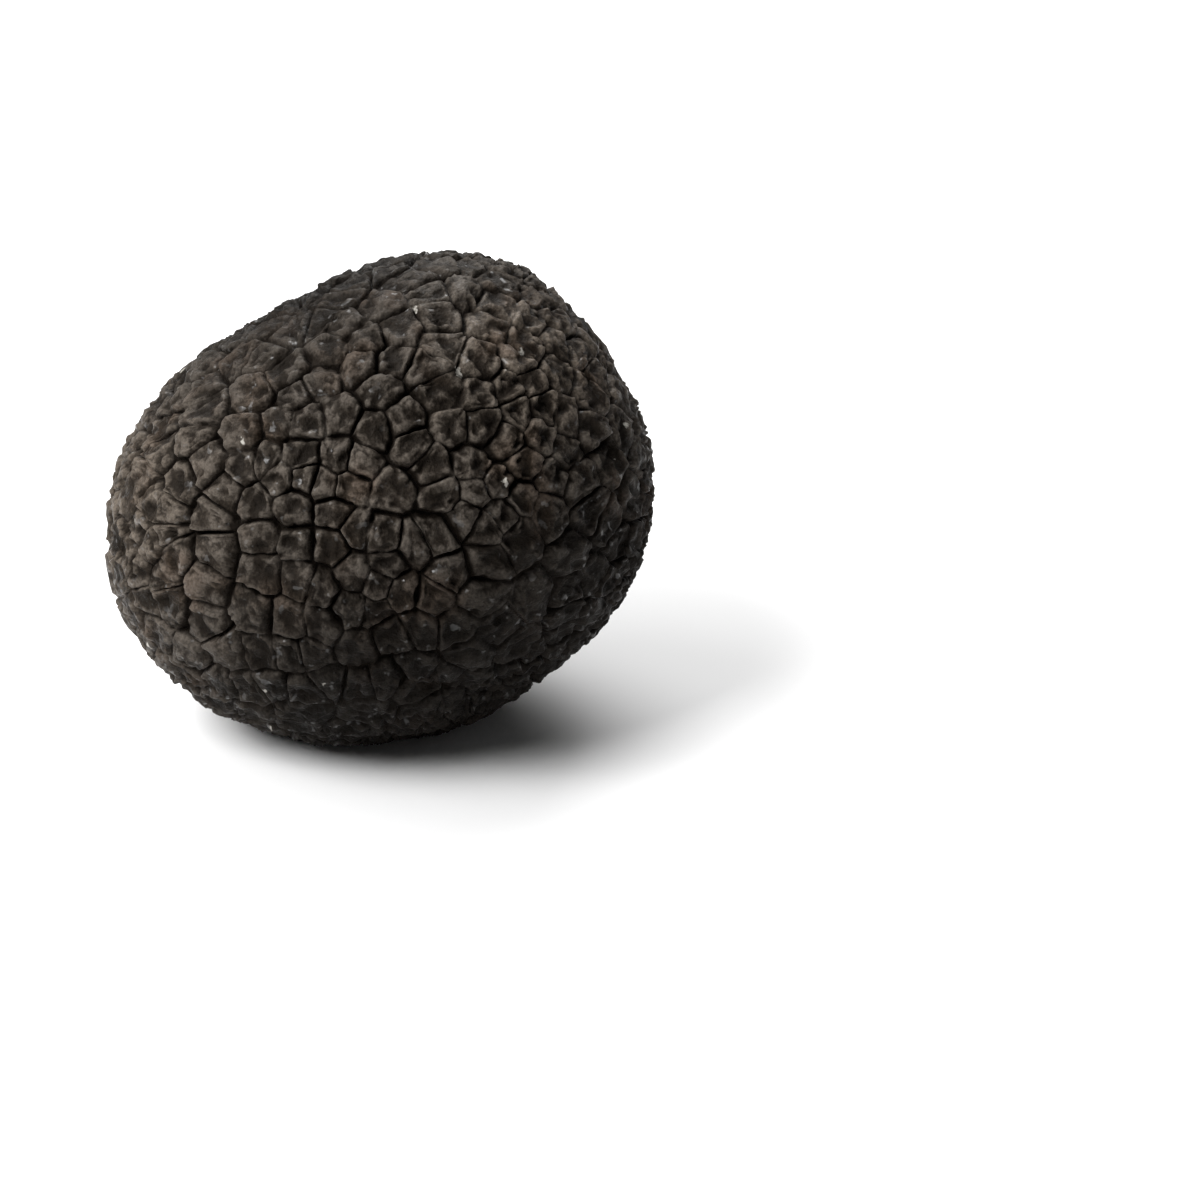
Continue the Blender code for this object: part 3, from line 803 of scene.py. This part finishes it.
def skin_signs(tree):
    """What the finish goes by: the place in millimetres, what the points tell, and the noises."""
    place = scaled(tree, add_node(tree, "TexCoord").outputs["Object"], 1 / MM)
    around = add_node(tree, "Attribute", attribute_name="around").outputs["Vector"]
    signs = {"place": place}
    for name in ("depth", "relief_for_wear_and_painted_light", "dust_and_painted_light", "tint"):
        signs[name] = add_node(tree, "Attribute", attribute_name=name).outputs["Fac"]
    signs["fine"] = grain(tree, place, FINE_SIZE, 4.0, 0.6)
    signs["mottle"] = grain(tree, place, MOTTLE_SIZE, 3.0)
    signs["streaks"] = grain(tree, around, STREAK_SIZE, 2.0, 0.6)
    signs["patches"] = between(tree, grain(tree, place, PATCH_SIZE, 2.0), *PATCH_EDGE)
    # painted shade: darker the deeper the skin lies in a groove
    signs["grooves"] = between(tree, signs["depth"], *PAINTED_GROOVE_SHADE_EDGE)
    signs["open_skin"] = worked_out(tree, 1.0, signs["grooves"], "SUBTRACT")
    return signs


def ground_colour(tree, signs):
    """Black-brown, with brown patches."""
    ground = blend(tree, between(tree, signs["tint"], 0.0, 1.0), DARK_GROUND, LIGHT_GROUND)
    brown = blend(tree, between(tree, signs["mottle"], *BROWN_MOTTLE), DARK_BROWN, LIGHT_BROWN)
    return blend(tree, signs["patches"], ground, brown)


def worn_highlight_colour(tree, signs):
    """The paler colour of skin that stands out: wear, and a painted highlight."""
    worn_highlight = blend(tree, between(tree, signs["dust_and_painted_light"], 0.0, FULL_DUST), WORN_HIGHLIGHT, WORN_HIGHLIGHT_DUSTY)
    return blend(tree, signs["patches"], worn_highlight, WORN_HIGHLIGHT_BROWN)


def skin_colour(tree, signs):
    """The ground, lighter with wear and a painted highlight where it stands out, lighter or darker by
    direction as painted light and shade, darker in the hollows and nearly black in the grooves as painted
    shade.
    """
    edge = plus(tree, signs["relief_for_wear_and_painted_light"], times(tree, signs["fine"], WORN_HIGHLIGHT_BY_FINE))
    edge = plus(tree, edge, times(tree, signs["mottle"], WORN_HIGHLIGHT_BY_MOTTLE))
    # wear and a painted highlight where the skin stands out
    worn_highlight = between(tree, edge, *WORN_HIGHLIGHT_EDGE)
    colour = blend(tree, worn_highlight, ground_colour(tree, signs), worn_highlight_colour(tree, signs))
    # painted light and shade by direction
    colour = scaled(tree, colour, led(tree, signs["dust_and_painted_light"], *PAINTED_LIGHT_AND_SHADE))
    # painted shade, darker in the hollows
    colour = scaled(tree, colour, led(tree, signs["relief_for_wear_and_painted_light"], *PAINTED_HOLLOW_SHADE))
    colour = scaled(tree, colour, led(tree, signs["fine"], *SPECKLE_BRIGHTNESS))
    # painted shade, nearly black in the grooves
    return blend(tree, signs["grooves"], colour, PAINTED_GROOVE_SHADE)


def with_painted_glints(tree, signs, colour):
    """A colour with a few pale uneven flecks as painted glints, but none in the grooves."""
    wobble = {"Vector": signs["place"], "Scale": PAINTED_GLINT_WOBBLE_FREQUENCY}
    wobble = add_node(tree, "TexNoise", wobble).outputs["Color"]
    wobbly = {0: wobble, 1: (PAINTED_GLINT_WOBBLE,) * 3, 2: signs["place"]}
    wobbly = add_node(tree, "VectorMath", wobbly, operation="MULTIPLY_ADD").outputs[0]
    squeezed = add_node(tree, "VectorMath", {0: wobbly, 1: PAINTED_GLINT_SQUEEZE}, operation="MULTIPLY").outputs[0]
    cells = add_node(tree, "TexVoronoi", {"Vector": squeezed, "Scale": 1 / PAINTED_GLINT_SPACING})
    chosen = add_node(tree, "SeparateColor", {"Color": cells.outputs["Color"]}).outputs["Red"]
    chosen = between(tree, chosen, 1 - PAINTED_GLINT_SHARE, 1 + PAINTED_GLINT_SHARE_EDGE - PAINTED_GLINT_SHARE)
    near = led(tree, cells.outputs["Distance"], PAINTED_GLINT_RADIUS)
    # painted glints: pale flecks in a few cells
    painted_glint = times(tree, times(tree, chosen, near), signs["open_skin"])
    return blend(tree, painted_glint, colour, PAINTED_GLINT_COLOUR)


def bumped(tree, signs):
    """The direction that the skin faces, with its finest grain, its streaks and its mottle."""
    relief = plus(tree, times(tree, signs["fine"], FINE_BUMP), times(tree, signs["streaks"], STREAK_BUMP))
    relief = plus(tree, relief, times(tree, signs["mottle"], MOTTLE_BUMP))
    settings = {"Strength": BUMP_STRENGTH, "Distance": MM, "Height": relief}
    return add_node(tree, "Bump", settings).outputs[0]


def set_gloss(tree, signs, shader):
    """Dull skin, shinier here and there, with a coat on small moist places."""
    shine = between(tree, signs["mottle"], *SHINE_EDGE)
    tree.links.new(led(tree, shine, (0.0, 1.0), DULL_TO_SHINY), shader.inputs["Roughness"])
    shader.inputs["Specular IOR Level"].default_value = SPECULAR_LEVEL
    shader.inputs["Specular Tint"].default_value = SPECULAR_TINT
    moist = between(tree, grain(tree, signs["place"], MOIST_SIZE, 2.0), *MOIST_EDGE)
    coat = times(tree, times(tree, moist, MOIST_COAT), signs["open_skin"])
    tree.links.new(coat, shader.inputs["Coat Weight"])
    shader.inputs["Coat Roughness"].default_value = COAT_ROUGHNESS


def skin_material():
    """Black-brown warty skin: darker in the grooves as painted shade, lighter on the warts with wear and a
    painted highlight, with painted light and shade by direction, painted glints and brown patches.
    """
    material = bpy.data.materials.new("truffle_skin")
    material.use_nodes = True
    tree = material.node_tree
    shader = tree.nodes["Principled BSDF"]
    signs = skin_signs(tree)
    colour = with_painted_glints(tree, signs, skin_colour(tree, signs))
    tree.links.new(colour, shader.inputs["Base Color"])
    tree.links.new(bumped(tree, signs), shader.inputs["Normal"])
    set_gloss(tree, signs, shader)
    return material


def make_floor():
    """A plain pale floor, wide enough to fill the camera's view."""
    bpy.ops.mesh.primitive_circle_add(vertices=64, radius=FLOOR_RADIUS, fill_type="NGON", location=(0, 0, 0))
    floor = bpy.context.object
    floor.name = "floor"
    material = bpy.data.materials.new("floor")
    material.use_nodes = True
    shader = material.node_tree.nodes["Principled BSDF"]
    shader.inputs["Base Color"].default_value = FLOOR_COLOUR
    shader.inputs["Roughness"].default_value = FLOOR_ROUGHNESS
    shader.inputs["Specular IOR Level"].default_value = FLOOR_SPECULAR_LEVEL
    floor.data.materials.append(material)


def make_softbox(name, azimuth, elevation, distance, width, power):
    """A square soft light that faces the truffle from a direction in degrees."""
    light = bpy.data.lights.new(name, "AREA")
    light.shape = "SQUARE"
    light.size = width
    light.energy = power
    lamp = bpy.data.objects.new(name, light)
    way = pointing(azimuth, elevation)
    lamp.location = CENTRE + way * distance
    lamp.rotation_mode = "QUATERNION"
    lamp.rotation_quaternion = way.to_track_quat("Z", "Y")
    bpy.context.scene.collection.objects.link(lamp)


def make_light():
    """Soft studio light from the left, the front left and the back, and a little from all round."""
    for softbox in SOFTBOXES:
        make_softbox(*softbox)
    world = bpy.data.worlds.new("studio")
    world.use_nodes = True
    background = world.node_tree.nodes["Background"]
    background.inputs["Color"].default_value = WHITE
    background.inputs["Strength"].default_value = WORLD_STRENGTH
    bpy.context.scene.world = world


def make_camera():
    """A long lens at the photograph's angle, with the truffle where the photograph has it."""
    camera = bpy.data.cameras.new("camera")
    camera.sensor_width = SENSOR_WIDTH
    camera.lens = SENSOR_WIDTH * VIEW_DISTANCE / PHOTO_WIDTH
    camera.clip_start = 0.01
    pixel = PHOTO_WIDTH / PHOTO_SIZE
    across = (PHOTO_CENTRE[0] - PHOTO_SIZE / 2) * pixel
    up = (PHOTO_SIZE / 2 - PHOTO_CENTRE[1]) * pixel
    view = bpy.data.objects.new("camera", camera)
    place = CENTRE - RIGHT * across - PICTURE_UP * up + TOWARDS * VIEW_DISTANCE
    turn = Matrix((RIGHT, PICTURE_UP, TOWARDS)).transposed()
    view.matrix_world = Matrix.Translation(place) @ turn.to_4x4()
    bpy.context.scene.collection.objects.link(view)
    bpy.context.scene.camera = view


def show_plainly():
    """Colours come out as they are lit, with no film look."""
    bpy.context.scene.view_settings.view_transform = "Standard"
    bpy.context.scene.view_settings.look = "None"


truffle = make_truffle()
truffle.data.materials.append(skin_material())
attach(truffle, "root")
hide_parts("truffle")
make_floor()
make_light()
make_camera()
show_plainly()
